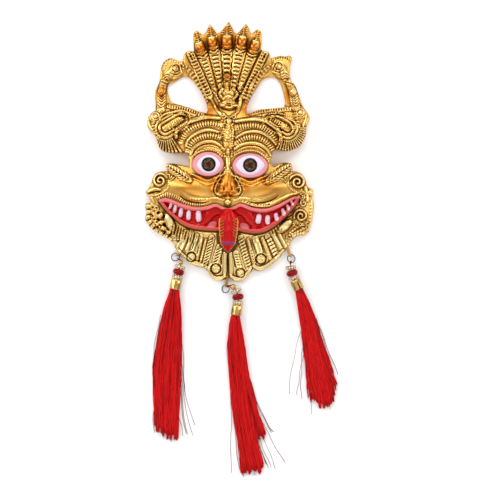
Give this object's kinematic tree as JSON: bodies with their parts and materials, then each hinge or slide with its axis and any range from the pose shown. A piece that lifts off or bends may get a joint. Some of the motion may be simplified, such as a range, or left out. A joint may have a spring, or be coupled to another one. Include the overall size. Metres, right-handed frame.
{
  "type": "kirtimukha mask",
  "caption": "Gold-plated cast face mask with painted bulging eyes, toothed mouth and hanging tongue under a fan of hooded snakes, with red thread tassels on beads.",
  "frame": {"origin": "middle of the underside of the whole object as it lies face up", "axes": "+Z out of the face, +Y from the chin to the crown's tip, +X to the right seen from above"},
  "size_m": [0.1138, 0.2724, 0.0226],
  "materials": {
    "gold_plate": "bright gold plating, polished on the high forms and brown in the grooves, with painted eyes, lips and teeth",
    "brass": "polished",
    "pale_gold": "pale gold plating set with small clear stones",
    "dark_steel": "dark wire",
    "red_glass": "faceted, clear deep red",
    "red_thread": "soft sheen of silk thread"
  },
  "bodies": {
    "root": {"mask": "gold_plate", "left_ring": "dark_steel", "left_ball": "brass", "left_upper_rondelle": "pale_gold", "left_bead": "red_glass", "left_lower_rondelle": "pale_gold", "left_cap": "brass", "left_tassel": "red_thread", "middle_ring": "dark_steel", "middle_ball": "brass", "middle_upper_rondelle": "pale_gold", "middle_bead": "red_glass", "middle_lower_rondelle": "pale_gold", "middle_cap": "brass", "middle_tassel": "red_thread", "right_ring": "dark_steel", "right_upper_rondelle": "pale_gold", "right_bead": "red_glass", "right_lower_rondelle": "pale_gold", "right_cap": "brass", "right_tassel": "red_thread"}
  },
  "joints": []
}
